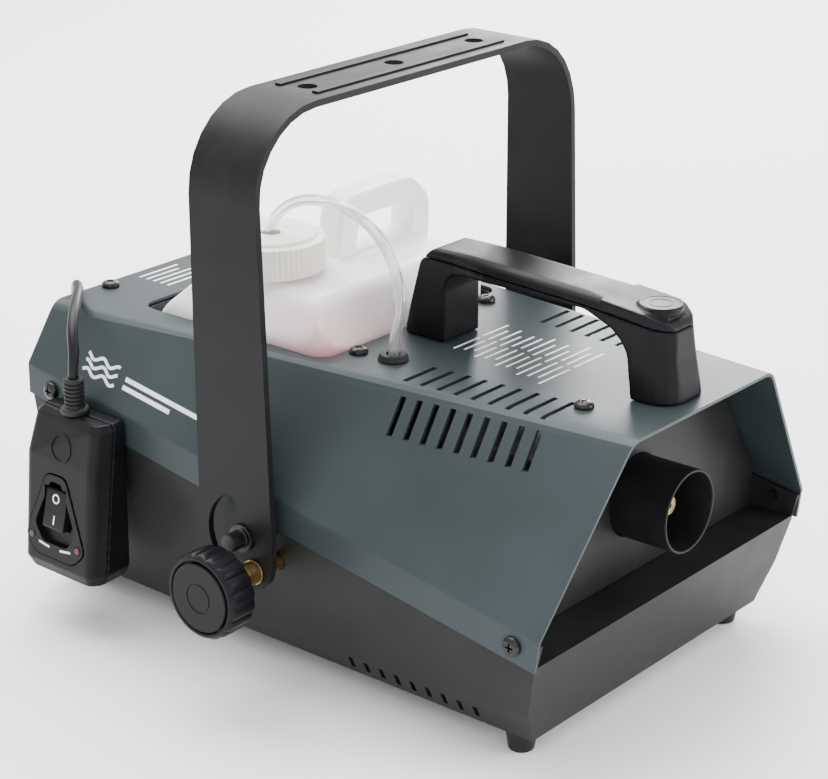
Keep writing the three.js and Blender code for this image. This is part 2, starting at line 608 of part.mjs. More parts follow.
function fluidTank() {
  const wall = 2;
  const body = (shrink) => {
    const [x, front, rear] = [TANK.x - shrink, TANK.front + shrink, TANK.rear - shrink];
    const [floor, top] = [TANK.floor + shrink, TANK.shoulder - shrink];
    const block = roundedBox(-x, x, front, rear, floor, top, 14 - shrink);
    const sides = prism('x', rounded([
      [front, floor], [rear, floor], [rear, 119, 12], [rear - 32, top, 16], [front + 10, top, 8],
      [front, 128, 12],
    ], 4), -80, 80);
    const ends = prism('y', rounded([
      [floor, x], [floor, -x], [132, -x, 10], [top, -x + 8, 9], [top, x - 8, 9], [132, x, 10],
    ], 4), -20, 120);
    return meet(block, sides, ends);
  };
  const neck = disc('z', 20, TANK.shoulder - 4, 161, 24).translate(CAP.x, CAP.y, 0);
  const mouth = disc('z', 18, TANK.shoulder - 10, 170, 24).translate(CAP.x, CAP.y, 0);
  const arch = prism('y', rounded([
    [138, 58], [150, 60, 6], [167, 60, 12], [179, 47, 13], [178.6, -1, 11], [138, -7.6],
  ], 5), ARCH.front, ARCH.rear);
  const window = prism('y', rounded([
    [TANK.shoulder + 2, 47.5, 3], [167.2, 47, 5], [167.2, 11, 7], [TANK.shoulder + 2, 6.5, 3],
  ], 4), ARCH.front - 5, ARCH.rear + 5);
  return cut(join(body(0), neck, cut(arch, window)), body(wall), mouth);
}

function tankCap() {
  const outline = range(CAP.ribs * 2).map((i) => {
    const angle = (Math.PI * i) / CAP.ribs;
    const r = CAP.r - (i % 2) * CAP.ribDepth;
    return new THREE.Vector2(r * Math.cos(angle), r * Math.sin(angle));
  });
  const skirt = prism('z', outline, CAP.low, CAP.high - 1.5);
  const top = turned('z', [
    [0, CAP.high - 3], [CAP.r - 1.2, CAP.high - 3], [CAP.r - 1.2, CAP.high - 1.5],
    [CAP.r - 3.5, CAP.high], [0, CAP.high],
  ], 24);
  const inside = disc('z', 20.6, CAP.low - 2, 165, 24);
  return cut(join(skirt, top), inside, disc('z', CAP.hole, CAP.low - 2, CAP.high + 2, 16));
}

add('fluid_tank', fluidTank(), 'white');
add('tank_cap', tankCap(), 'white').position.set(CAP.x, CAP.y, 0);
add('tank_cap_seal', ring('z', CAP.hole, 19.8, 161.3, 164.7, 16), 'rubber').position.set(CAP.x, CAP.y, 0);
add('pickup_filter', disc('z', 7, TANK.floor + 3, TANK.floor + 15, 12), 'brass').position.set(CAP.x, CAP.y, 0);

const hoseRoute = [
  [CAP.x, CAP.y, TANK.floor + 15.3], [CAP.x, CAP.y, 120], [CAP.x, CAP.y, 158], [CAP.x, CAP.y - 0.1, 168],
  [-34.7, 41.2, 175.6], [-35.8, 34, 181.8], [-37, 25.5, 186.3], [-38, 12, 189.4],
  [-39, -8.5, 187.8], [-40, -24.2, 179.6],
  [-41, -33.6, 166.4], [-41.8, -36.6, 151], [GROMMET.x, GROMMET.y - 1, 138], [GROMMET.x, GROMMET.y, 126],
  [GROMMET.x, GROMMET.y, 104],
];
add('feed_hose', tube(hoseRoute, HOSE_R, 50), 'clear');

const grommetProfile = [
  [HOSE_R + GAP + 0.3, 124.4], [7, 124.4], [7, 126.1], [4.8, 126.1], [4.8, TOP_Z + GAP], [7, TOP_Z + GAP],
  [5.8, TOP_Z + 3], [HOSE_R + GAP + 0.3, TOP_Z + 3], [HOSE_R + GAP + 0.3, 124.4],
];
add('hose_grommet', turned('z', grommetProfile, 14), 'rubber').position.set(GROMMET.x, GROMMET.y, 0);

// ---------------------------------------------------------------- remote

const faceX = (y, z) => FACE.x + FACE.lean * (z - FACE.z) + FACE.yaw * (y - FACE.y);
const seamX = (z) => along(z, REMOTE.low, -117.6, REMOTE.high, -108.4);
const FACE_BEND_Z = 70; // the outer face is flat below and leans in more above

// Plan outline of the remote at a height, drawn in by a distance
function remotePlan(z, outerFront, outerRear, shrink = 0) {
  return {
    z,
    points: rounded([
      [REMOTE.back, REMOTE.rear - shrink, 2], [outerRear + shrink, REMOTE.rear - shrink, 3.5],
      [outerFront + shrink, REMOTE.front + shrink, 4], [seamX(z), REMOTE.front - 3.3 + shrink],
      [REMOTE.back, REMOTE.front - 2 + shrink, 2],
    ], 3),
  };
}

const flatLevel = (z, shrink) => remotePlan(z, faceX(REMOTE.front, z), faceX(REMOTE.rear, z), shrink);
const remoteBody = stack([
  flatLevel(REMOTE.low, 6), flatLevel(REMOTE.low + 2, 2.4), flatLevel(REMOTE.low + 7, 0),
  flatLevel(FACE_BEND_Z, 0), remotePlan(REMOTE.high - 3, -118, -112.8),
  remotePlan(REMOTE.high, -117.5, -111.6, 1.8),
]);

// Half space outside (-1) or inside (1) the slanted seam
function besideSeam(side) {
  const at = (z) => seamX(z) + (side * GAP) / 2;
  return prism('y', [[0, at(0)], [100, at(100)], [100, side * 200], [0, side * 200]]
    .map(([z, x]) => new THREE.Vector2(z, x)), 60, 130);
}

// Moves a piece drawn about the middle of a flat outer face onto the slanted one
const onFace = (geometry) => geometry.clone().applyMatrix4(new THREE.Matrix4().set(
  1, FACE.yaw, FACE.lean, FACE.x - FACE.lean * FACE.z,
  0, 1, 0, FACE.y,
  0, 0, 1, 0,
  0, 0, 0, 1,
));

const LAMP = { y: 15.2, z: 31.5, r: 1.8 };
const cuff = disc('z', 4.2, REMOTE.high - 9, REMOTE.high + 4, 16).translate(RELIEF.x, RELIEF.y, 0);
const rockerHole = box(-3, 10.5, -7.2, 7.2, 36.5, 57.5);
const lampHole = (y) => disc('x', LAMP.r + GAP, -2, 6, 12).translate(0, y, LAMP.z);
const bezelOutline = (grow) => rounded([
  [-6 - grow, 63 + grow, 5], [-19.5 - grow, 30.5, 5], [-12, 23.5 - grow, 9],
  [12, 23.5 - grow, 9], [19.5 + grow, 30.5, 5], [6 + grow, 63 + grow, 5],
], 4);
const bezelBed = prism('x', bezelOutline(GAP), -3, 5);
const pocket = prism('x', rounded([
  [-3.5, 60, 3], [-13.5, 38, 4], [-8, 30, 5], [8, 30, 5], [13.5, 38, 4], [3.5, 60, 3],
], 3), -3, 3);

const frontShell = cut(meet(remoteBody, besideSeam(-1)),
  [rockerHole, lampHole(-LAMP.y), lampHole(LAMP.y), bezelBed].map(onFace), cuff);
const backShell = cut(meet(remoteBody, besideSeam(1)), cuff);
const bezelPlate = prism('x', bezelOutline(0), -0.4, 5 - GAP);
const bezel = cut(bezelPlate, pocket, rockerHole, lampHole(-LAMP.y), lampHole(LAMP.y));
const rocker = prism('y', rounded([
  [ROCKER.low, -1.9, 1], [ROCKER.middle, -0.3, 30], [ROCKER.high, 0.4, 1], [ROCKER.high, 3],
  [ROCKER.high - 4.2, ROCKER.back], [ROCKER.low + 4.2, ROCKER.back], [ROCKER.low, 3],
], 3), -ROCKER.half, ROCKER.half);
add('remote_front_shell', frontShell, 'blackPlastic');
add('remote_back_shell', backShell, 'blackPlastic');
add('remote_bezel', onFace(bezel), 'blackPlastic');
add('remote_rocker', onFace(rocker), 'blackPlastic');
for (const [name, y, look] of [['remote_lamp_front', -LAMP.y, 'red'], ['remote_lamp_rear', LAMP.y, 'green']]) {
  add(name, onFace(disc('x', LAMP.r, -0.9, 5, 12).translate(0, y, LAMP.z)), look);
}
const reliefProfile = [
  [0, REMOTE.high - 8.5], [3.9, REMOTE.high - 8.5], [3.9, REMOTE.high + 0.4], [6.3, REMOTE.high + 0.4],
  [6.3, REMOTE.high + 2.8], [4.6, REMOTE.high + 3.4], [4.6, RELIEF.high - 1], [4.1, RELIEF.high],
  [0, RELIEF.high],
];
add('remote_strain_relief', turned('z', reliefProfile, 16), 'rubber').position.set(RELIEF.x, RELIEF.y, 0);

const bracket = join(box(-100.3, -98.8, 86, 106, 48, 79), box(-100.3, -93.6, 86, 106, 48, 50));
add('remote_bracket', bracket, 'steel');

// ---------------------------------------------------------------- rear fittings

const socketProfile = [
  [3.2, -24], [8, -24], [8, GAP], [11, GAP], [11, 2.4], [7.2, 2.4], [7.2, -14], [3.2, -14], [3.2, -24],
];
add('remote_socket', turned('y', socketProfile, 18), 'blackPlastic')
  .position.set(SOCKET.x, REAR_PANEL_Y, SOCKET.z);

const inletShell = join(
  box(-54, -26, REAR_PANEL_Y - 22, REAR_PANEL_Y + 1, 38, 58),
  box(-57, -23, REAR_PANEL_Y + GAP, REAR_PANEL_Y + 2.8, 35, 61),
);
const inletWell = prism('y', rounded([[40, -52, 3], [56, -52, 3], [56, -28, 3], [40, -28, 3]], 4),
  REAR_PANEL_Y - 18, REAR_PANEL_Y + 5);
const inletBlade = (x) => box(x - 1, x + 1, REAR_PANEL_Y - 19, REAR_PANEL_Y - 4, 46, 50);
const inletBlades = [-46, -40, -34].map(inletBlade);
add('mains_inlet', join(cut(inletShell, inletWell), inletBlades), 'blackPlastic');

const fuseProfile = [
  [0, -16], [6, -16], [6, GAP], [8, GAP], [8, REARMOST_Y - REAR_PANEL_Y - 1], [7, REARMOST_Y - REAR_PANEL_Y],
  [0, REARMOST_Y - REAR_PANEL_Y],
];
const fuseSlot = box(-5, 5, REARMOST_Y - REAR_PANEL_Y - 1.6, 20, -0.9, 0.9);
const fuseCap = cut(turned('y', fuseProfile, 16), fuseSlot);
add('fuse_cap', fuseCap, 'blackPlastic').position.set(-66, REAR_PANEL_Y, 48);

// ---------------------------------------------------------------- remote cord

const floorZ = CORD_R + 0.3 - FOOT_HEIGHT;
const cordDropRoute = [
  [RELIEF.x, RELIEF.y, RELIEF.high + 0.5], [-108.8, 96.4, 112.5], [-107.3, 97.4, 118], [-103, 102.4, 124.6],
  [-96, 109.1, 129.2], [-86, 117.8, 132.2], [-76, 127, 133], [-68.8, 135.8, 131.8], [-63.6, 141.9, 125],
  [-57, 147, 105], [-51, 150, 80], [-44, 153, 50],
  [-36, 158, 25], [-27, 166, 7], [-18, 176, -3], [-10, 185, floorZ + 0.4],
  [COIL.x - COIL.outer - 1.4, COIL.y, floorZ],
];
add('cord_drop', tube(cordDropRoute, CORD_R, 42), 'rubber');

const ringProfile = (() => {
  const [low, high] = [floorZ - CORD_R, floorZ - CORD_R + COIL.height];
  return [
    [COIL.inner, low + 3], [COIL.inner + 3, low], [COIL.outer - 3, low], [COIL.outer, low + 3],
    [COIL.outer, high - 4], [COIL.outer - 4, high], [COIL.inner + 4, high], [COIL.inner, high - 4],
    [COIL.inner, low + 3],
  ];
})();
const coilLow = floorZ - CORD_R;
const coilHigh = coilLow + COIL.height;
const tieBand = box(-TIE_HALF, TIE_HALF, COIL.inner - 2.4, COIL.outer + 1.6, coilLow - 0.1, coilHigh + 1.6);
const tieHole = box(-4, 4, COIL.inner - 3 * GAP, COIL.outer + GAP, coilLow - 4, coilHigh + GAP);
add('cord_coil', turned('z', ringProfile, 24), 'rubber').position.set(COIL.x, COIL.y, 0);
add('cord_tie', cut(tieBand, tieHole), 'blackPlastic').position.set(COIL.x, COIL.y, 0);

const plugY = REAR_PANEL_Y + 2.4 + GAP;
const plugProfile = [[0, 0], [8.5, 0], [8.5, 14], [6.5, 18], [4, 30], [0, 30]];
const plug = join(turned('y', plugProfile, 16), disc('y', 6.6, -11, 1, 16));
add('cord_plug', plug, 'blackPlastic').position.set(SOCKET.x, plugY, SOCKET.z);

const tailRoute = [
  [SOCKET.x, plugY + 30.5, SOCKET.z], [SOCKET.x, plugY + 40, SOCKET.z - 1.5],
  [SOCKET.x + 1, plugY + 50, SOCKET.z - 9],
  [SOCKET.x + 4, plugY + 55, SOCKET.z - 21], [SOCKET.x + 10, COIL.y + 9, 22],
  [SOCKET.x + 12, COIL.y + 13, floorZ - CORD_R + COIL.height + 1.6],
];
add('cord_tail', tube(tailRoute, CORD_R, 16), 'rubber');

// ---------------------------------------------------------------- the machine on its feet, centred

machine.position.set(0, -(FRONT_TOP_Y + REARMOST_Y) / 2, FOOT_HEIGHT);
machine.updateMatrixWorld(true);

export default machine;
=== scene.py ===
"""Looks of a fog machine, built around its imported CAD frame: metres, in the frame's own axes.

Each CAD node is stood for by a finer piece, apart from the nodes that hardly show, which keep
their CAD shape and get a finished material.
"""

import json
import math

import bmesh
import bpy
from mathutils import Matrix, Vector
from mathutils.bvhtree import BVHTree


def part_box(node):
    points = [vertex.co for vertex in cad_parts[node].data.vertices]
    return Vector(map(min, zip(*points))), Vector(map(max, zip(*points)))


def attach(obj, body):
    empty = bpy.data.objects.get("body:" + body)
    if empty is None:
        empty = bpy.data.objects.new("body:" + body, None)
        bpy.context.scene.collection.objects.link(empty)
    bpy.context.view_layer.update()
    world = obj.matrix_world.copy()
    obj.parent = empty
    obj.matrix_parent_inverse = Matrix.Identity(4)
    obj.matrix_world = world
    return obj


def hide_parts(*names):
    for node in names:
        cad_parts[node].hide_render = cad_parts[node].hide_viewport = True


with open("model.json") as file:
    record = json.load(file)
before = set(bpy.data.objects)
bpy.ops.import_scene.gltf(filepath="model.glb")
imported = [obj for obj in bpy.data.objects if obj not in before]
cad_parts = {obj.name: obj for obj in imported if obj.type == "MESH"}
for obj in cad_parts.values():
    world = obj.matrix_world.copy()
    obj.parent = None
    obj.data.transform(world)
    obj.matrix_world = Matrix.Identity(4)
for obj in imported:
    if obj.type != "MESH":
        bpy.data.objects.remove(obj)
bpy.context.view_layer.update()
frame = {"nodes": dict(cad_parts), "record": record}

MM = 0.001
NODES = frame["nodes"]
RECORD = frame["record"]
BODY_OF = {node: body for body, members in RECORD["behaviour"]["bodies"].items() for node in members}
SLOT_OF = {entry["node"]: entry["material_slot"] for entry in RECORD["subparts"]}
SIDES = (("left", -1), ("right", 1))
SHIFT_Y = 11.036  # mm from the case's own middle to the frame's origin
SHIFT_Z = 10.0  # mm from the floor to the underside of the case


def case_point(x, y, z):
    """A point in millimetres, from the underside of the case, as a point of the frame."""
    return Vector((x * MM, (y + SHIFT_Y) * MM, (z + SHIFT_Z) * MM))


# ---------------------------------------------------------------- camera

CAMERA_AT = Vector((-0.7794, -0.63886, 0.4966))
CAMERA_RIGHT = Vector((0.6360, -0.7716, 0.0052))
CAMERA_AHEAD = Vector((0.7207, 0.5916, -0.3612))
CAMERA_LENS = 103.77


def add_camera():
    data = bpy.data.cameras.new("camera")
    data.lens = CAMERA_LENS
    data.sensor_width = 36
    data.clip_end = 20
    ahead = CAMERA_AHEAD.normalized()
    right = (CAMERA_RIGHT - CAMERA_RIGHT.dot(ahead) * ahead).normalized()
    axes = Matrix((right, right.cross(ahead), -ahead)).transposed()
    camera = bpy.data.objects.new("camera", data)
    camera.matrix_world = Matrix.Translation(CAMERA_AT) @ axes.to_4x4()
    bpy.context.scene.collection.objects.link(camera)
    bpy.context.scene.camera = camera


add_camera()

# ---------------------------------------------------------------- materials


NOISE_ROUGHNESS = 0.55
MIX_LOW, MIX_HIGH, MIX_RESULT = 6, 7, 2  # the colour sockets of a Mix node
PATCH_RANGE = (0.3, 0.7)  # the part of the patchy noise that is used
TONE_RANGE = (-0.1, 0.5)  # what that part adds to the tone
GRAIN_TONE = 0.6  # what the grain adds to the tone


def noise(nodes, links, where, scale, detail):
    node = nodes.new("ShaderNodeTexNoise")
    node.inputs["Scale"].default_value = scale
    node.inputs["Detail"].default_value = detail
    node.inputs["Roughness"].default_value = NOISE_ROUGHNESS
    links.new(where, node.inputs["Vector"])
    return node.outputs["Fac"]


def mixed(nodes, links, factor, low, high):
    node = nodes.new("ShaderNodeMix")
    node.data_type = "RGBA"
    links.new(factor, node.inputs["Factor"])
    for socket, value in ((MIX_LOW, low), (MIX_HIGH, high)):
        if isinstance(value, bpy.types.NodeSocket):
            links.new(value, node.inputs[socket])
        else:
            node.inputs[socket].default_value = (*value, 1)
    return node.outputs[MIX_RESULT]


def mapped(nodes, links, value, old, new):
    """A value whose old (low, high) range is stretched to the new one, and held at its ends."""
    node = nodes.new("ShaderNodeMapRange")
    for name, number in zip(("From Min", "From Max", "To Min", "To Max"), (*old, *new)):
        node.inputs[name].default_value = number
    links.new(value, node.inputs["Value"])
    return node.outputs["Result"]


def product(nodes, links, a, b):
    node = nodes.new("ShaderNodeMath")
    node.operation = "MULTIPLY"
    links.new(a, node.inputs[0])
    links.new(b, node.inputs[1])
    return node.outputs[0]


def finish(name, dark, light, rough, spread=0.06, patch=40, grain=1500, relief=0.15, depth=0.0001,
           stretch=(1, 1, 1), **flat):
    """A surface whose colour and gloss drift over patches, with a fine grain in relief.

    patch and grain are in cycles per metre, and depth in metres. flat sets the shader's own sockets,
    named with underscores for spaces.
    """
    material = bpy.data.materials.new(name)
    material.use_nodes = True
    nodes, links = material.node_tree.nodes, material.node_tree.links
    shader = nodes["Principled BSDF"]
    coordinates = nodes.new("ShaderNodeTexCoord")
    mapping = nodes.new("ShaderNodeMapping")
    mapping.inputs["Scale"].default_value = stretch
    links.new(coordinates.outputs["Object"], mapping.inputs["Vector"])
    where = mapping.outputs["Vector"]
    patches = noise(nodes, links, where, patch, 3)
    fine = noise(nodes, links, where, grain, 2)
    tone = nodes.new("ShaderNodeMath")
    tone.operation = "MULTIPLY_ADD"
    links.new(fine, tone.inputs[0])
    tone.inputs[1].default_value = GRAIN_TONE
    links.new(mapped(nodes, links, patches, PATCH_RANGE, TONE_RANGE), tone.inputs[2])
    links.new(mixed(nodes, links, tone.outputs[0], dark, light), shader.inputs["Base Color"])
    gloss = mapped(nodes, links, patches, PATCH_RANGE, (rough - spread, rough + spread))
    links.new(gloss, shader.inputs["Roughness"])
    bump = nodes.new("ShaderNodeBump")
    bump.inputs["Strength"].default_value = relief
    bump.inputs["Distance"].default_value = depth
    links.new(fine, bump.inputs["Height"])
    links.new(bump.outputs["Normal"], shader.inputs["Normal"])
    for socket, value in flat.items():
        shader.inputs[socket.replace("_", " ")].default_value = value
    return material


# Pink low in the tank: the fluid's own colour, with painted shade on the tank's shaded front left corner.
FLUID_AND_SHADE_PINK = (0.92, 0.36, 0.40)
FLUID_AND_SHADE_FADE = {"X": (-0.06, 0.02), "Y": (0.0, 0.05), "Z": (0.135, 0.168)}  # metres: full tint to none


def tank_finish():
    """Milky blow-moulded plastic, pink low in its front left corner: the fluid's own colour, with painted
    shade that keeps it to that corner, where the tank's left side falls in shade.
    """
    milky = dict(Subsurface_Weight=0.25, Subsurface_Radius=(0.02, 0.018, 0.02), Subsurface_Scale=0.25,
                 IOR=1.46)
    material = finish("tank_plastic", (0.93, 0.91, 0.92), (0.98, 0.96, 0.97), 0.3, spread=0.05, patch=25,
                      grain=260, relief=0.05, depth=0.0006, **milky)
    nodes, links = material.node_tree.nodes, material.node_tree.links
    shader = nodes["Principled BSDF"]
    untinted = shader.inputs["Base Color"].links[0].from_socket
    split = nodes.new("ShaderNodeSeparateXYZ")
    coordinates = next(n for n in nodes if n.type == "TEX_COORD")
    links.new(coordinates.outputs["Object"], split.inputs["Vector"])
    # low follows the fluid's level; front and left are painted shade, which keeps the pink to the shaded
    # front left corner.
    low, front, left = (mapped(nodes, links, split.outputs[axis], FLUID_AND_SHADE_FADE[axis], (1.0, 0.0))
                        for axis in "ZYX")
    tint = product(nodes, links, product(nodes, links, low, front), left)
    links.new(mixed(nodes, links, tint, untinted, FLUID_AND_SHADE_PINK), shader.inputs["Base Color"])
    return material


FINISHES = {
    "case_paint": finish("case_paint", (0.021, 0.030, 0.032), (0.038, 0.050, 0.054), 0.42, spread=0.03,
                         patch=12, grain=2600, relief=0.05, Metallic=0.2, Specular_IOR_Level=0.22),
    "black_paint": finish("black_paint", (0.005, 0.005, 0.006), (0.013, 0.013, 0.014), 0.46, patch=50,
                          grain=1900, relief=0.3, Specular_IOR_Level=0.13),
    "black_plastic": finish("black_plastic", (0.003, 0.003, 0.004), (0.008, 0.008, 0.010), 0.36, patch=60,
                            grain=2600, relief=0.15, Specular_IOR_Level=0.12),
    "black_rubber": finish("black_rubber", (0.005, 0.005, 0.005), (0.012, 0.012, 0.012), 0.6, patch=90,
                           grain=1400, relief=0.3, Specular_IOR_Level=0.3),
    "cord_jacket": finish("cord_jacket", (0.004, 0.004, 0.005), (0.010, 0.010, 0.011), 0.34, patch=120,
                          grain=900, relief=0.1, Specular_IOR_Level=0.15),
    "screw_black": finish("screw_black", (0.010, 0.010, 0.010), (0.035, 0.035, 0.036), 0.32, patch=300,
                          grain=3500, relief=0.15, Metallic=0.7),
    "brass": finish("brass", (0.40, 0.27, 0.10), (0.58, 0.42, 0.18), 0.34, patch=200, grain=900,
                    relief=0.04, Metallic=1.0),
    "copper": finish("copper", (0.55, 0.25, 0.14), (0.76, 0.40, 0.25), 0.3, patch=150, grain=1800,
                     Metallic=1.0),
    "aluminium": finish("aluminium", (0.45, 0.45, 0.46), (0.70, 0.70, 0.71), 0.45, patch=70, grain=1200,
                        relief=0.4, Metallic=1.0),
    "zinc": finish("zinc", (0.42, 0.43, 0.44), (0.66, 0.67, 0.67), 0.34, patch=160, grain=2200,
                   stretch=(1, 1, 5), Metallic=1.0),
    "cap_plastic": finish("cap_plastic", (0.76, 0.73, 0.66), (0.86, 0.84, 0.78), 0.4, patch=60, grain=900,
                          relief=0.08, Subsurface_Weight=0.15, Subsurface_Scale=0.004),
    "lamp_red": finish("lamp_red", (0.03, 0.002, 0.002), (0.07, 0.004, 0.004), 0.12, patch=400, grain=900,
                       relief=0.02, Specular_IOR_Level=0.4),
    "lamp_green": finish("lamp_green", (0.002, 0.016, 0.003), (0.005, 0.035, 0.008), 0.12, patch=400,
                         grain=900, relief=0.02, Specular_IOR_Level=0.4),
    "board": finish("board", (0.015, 0.10, 0.04), (0.03, 0.18, 0.07), 0.4, patch=300, grain=1200,
                    relief=0.2),
    "tank_plastic": tank_finish(),
    "clear_hose": finish("clear_hose", (0.86, 0.88, 0.88), (0.95, 0.96, 0.96), 0.06, spread=0.03, patch=60,
                         grain=300, relief=0.02, Transmission_Weight=0.9, IOR=1.42),
}
CHASSIS_PAINT = finish("chassis_paint", (0.008, 0.008, 0.008), (0.019, 0.019, 0.019), 0.48, patch=45,
                       grain=1700, relief=0.35, Specular_IOR_Level=0.18)
WHITE_INK = finish("white_ink", (0.70, 0.72, 0.73), (0.82, 0.84, 0.84), 0.5, patch=200, grain=1800,
                   relief=0.1)

# ---------------------------------------------------------------- pieces

SHARP = 32  # degrees between two faces, above which their edge stays sharp
WELD = 2e-6  # metres between vertices that are one
FLAT = math.radians(1)  # between facets that are one face


def place(name, mesh, body, slot=None, material=None, replaces=()):
    """Links a mesh as a piece that rides on a body."""
    piece = bpy.data.objects.new(name, mesh)
    bpy.context.scene.collection.objects.link(piece)
    mesh.materials.clear()
    mesh.materials.append(material or FINISHES[slot])
    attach(piece, body)
    if replaces:
        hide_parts(*replaces)
    return piece


def smoothed(mesh, angle=SHARP):
    mesh.shade_smooth()
    mesh.set_sharp_from_angle(angle=math.radians(angle))
    return mesh


def solid_copy(node, name):
    """The node's mesh with its facets merged into whole faces."""
    mesh = bpy.data.meshes.new(name)
    shape = bmesh.new()
    shape.from_mesh(NODES[node].data)
    bmesh.ops.remove_doubles(shape, verts=shape.verts, dist=WELD)
    bmesh.ops.dissolve_limit(shape, angle_limit=FLAT, verts=shape.verts, edges=shape.edges)
    shape.to_mesh(mesh)
    shape.free()
    return mesh


def edged(node, bevel, segments=2, material=None, angle=SHARP):
    """A piece with the node's shape and softened edges; bevel is in millimetres, angle in degrees."""
    mesh = smoothed(solid_copy(node, node + "_fine"), angle)
    piece = place(node + "_fine", mesh, BODY_OF[node], SLOT_OF[node], material, [node])
    modifier = piece.modifiers.new("edges", "BEVEL")
    modifier.width = bevel * MM
    modifier.segments = segments
    modifier.limit_method = "ANGLE"
    modifier.angle_limit = math.radians(angle)
    modifier.harden_normals = True
    return piece


def applied(piece):
    """Puts a piece's modifiers into its mesh."""
    depsgraph = bpy.context.evaluated_depsgraph_get()
    mesh = bpy.data.meshes.new_from_object(piece.evaluated_get(depsgraph), depsgraph=depsgraph)
    piece.modifiers.clear()
    piece.data = mesh
    return piece


def moulded(node, voxel, rounds):
    """A piece with the node's shape, its edges run together as in a moulding; voxel is in millimetres."""
    mesh = solid_copy(node, node + "_fine")
    piece = place(node + "_fine", mesh, BODY_OF[node], SLOT_OF[node], replaces=[node])
    remesh = piece.modifiers.new("remesh", "REMESH")
    remesh.mode = "VOXEL"
    remesh.voxel_size = voxel * MM
    smooth = piece.modifiers.new("smooth", "SMOOTH")
    smooth.factor = 0.5
    smooth.iterations = rounds
    applied(piece)
    piece.data.shade_smooth()
    return piece


AXIS_TURN = {
    "x": Matrix(((0, 0, 1), (1, 0, 0), (0, 1, 0))),
    "y": Matrix(((0, 1, 0), (0, 0, 1), (1, 0, 0))),
    "z": Matrix.Identity(3),
}


def turned(name, axis, centre, profile, segments=96, closed=False, radius_at=None):
    """Mesh of revolution about an axis; profile is (radius, distance along the axis) in millimetres.

    radius_at(radius, distance, angle) can shape the radius around the turn. A profile that isn't
    closed begins and ends on the axis.
    """
    mesh = bpy.data.meshes.new(name)
    shape = bmesh.new()
    turn = AXIS_TURN[axis]
    rings = []
    for radius, distance in profile:
        if radius < 1e-6:
            rings.append([shape.verts.new(turn @ Vector((0, 0, distance * MM)) + centre)])
            continue
        ring = []
        for i in range(segments):
            angle = 2 * math.pi * i / segments
            r = radius_at(radius, distance, angle) if radius_at else radius
            point = Vector((r * math.cos(angle) * MM, r * math.sin(angle) * MM, distance * MM))
            ring.append(shape.verts.new(turn @ point + centre))
        rings.append(ring)
    pairs = list(zip(rings, rings[1:]))
    if closed:
        pairs.append((rings[-1], rings[0]))
    for a, b in pairs:
        for i in range(segments):
            j = (i + 1) % segments
            if len(a) == 1:
                corners = (a[0], b[j], b[i])
            elif len(b) == 1:
                corners = (a[i], a[j], b[0])
            else:
                corners = (a[i], a[j], b[j], b[i])
            shape.faces.new(corners)
    bmesh.ops.recalc_face_normals(shape, faces=shape.faces)
    shape.to_mesh(mesh)
    shape.free()
    return smoothed(mesh)


def joined(name, meshes):
    """One mesh of several."""
    shape = bmesh.new()
    for mesh in meshes:
        shape.from_mesh(mesh)
    result = bpy.data.meshes.new(name)
    shape.to_mesh(result)
    shape.free()
    return result


def band(line, width, at, lift=0.02, thickness=0.06, closed=False):
    """Thin raised band along a line of (u, v) points, in millimetres.

    at(u, v, height) is the point that stands that high over the surface.
    """
    shape = bmesh.new()
    rows = []
    count = len(line)
    for i, (u, v) in enumerate(line):
        a = line[(i - 1) % count] if closed else line[max(i - 1, 0)]
        b = line[(i + 1) % count] if closed else line[min(i + 1, count - 1)]
        length = math.hypot(b[0] - a[0], b[1] - a[1])
        du, dv = -(b[1] - a[1]) / length * width / 2, (b[0] - a[0]) / length * width / 2
        corners = ((1, lift), (1, lift + thickness), (-1, lift + thickness), (-1, lift))
        rows.append([shape.verts.new(at(u + s * du, v + s * dv, height)) for s, height in corners])
    pairs = list(zip(rows, rows[1:]))
    if closed:
        pairs.append((rows[-1], rows[0]))
    else:
        shape.faces.new(rows[0])
        shape.faces.new(rows[-1][::-1])
    for a, b in pairs:
        for k in range(4):
            m = (k + 1) % 4
            shape.faces.new((a[k], a[m], b[m], b[k]))
    bmesh.ops.recalc_face_normals(shape, faces=shape.faces)
    mesh = bpy.data.meshes.new("band")
    shape.to_mesh(mesh)
    shape.free()
    return mesh


def printed(name, meshes, body="chassis"):
    place(name, joined(name, meshes), body, material=WHITE_INK)


def straight(start, end, pieces=16):
    (u0, v0), (u1, v1) = start, end
    return [(u0 + (u1 - u0) * i / pieces, v0 + (v1 - v0) * i / pieces) for i in range(pieces + 1)]


def circle(middle, radius, count):
    step = 2 * math.pi / count
    return [(middle[0] + radius * math.cos(i * step), middle[1] + radius * math.sin(i * step))
            for i in range(count)]


def spline_points(points, step):
    """Points about one step apart on a smooth curve through the given ones (centripetal)."""
    points = [Vector(p) for p in points]
    ends = [2 * points[0] - points[1], *points, 2 * points[-1] - points[-2]]
    line = []
    for p0, p1, p2, p3 in zip(ends, ends[1:], ends[2:], ends[3:]):
        t1 = (p1 - p0).length ** 0.5
        t2 = t1 + (p2 - p1).length ** 0.5
        t3 = t2 + (p3 - p2).length ** 0.5
        count = max(2, round((p2 - p1).length / step))
        for i in range(count):
            t = t1 + (t2 - t1) * i / count
            a1 = p0.lerp(p1, t / t1)
            a2 = p1.lerp(p2, (t - t1) / (t2 - t1))
            a3 = p2.lerp(p3, (t - t2) / (t3 - t2))
            b1 = a1.lerp(a2, t / t2)
            b2 = a2.lerp(a3, (t - t1) / (t3 - t1))
            line.append(b1.lerp(b2, (t - t1) / (t2 - t1)))
    line.append(points[-1])
    return line


# ---------------------------------------------------------------- remote cord

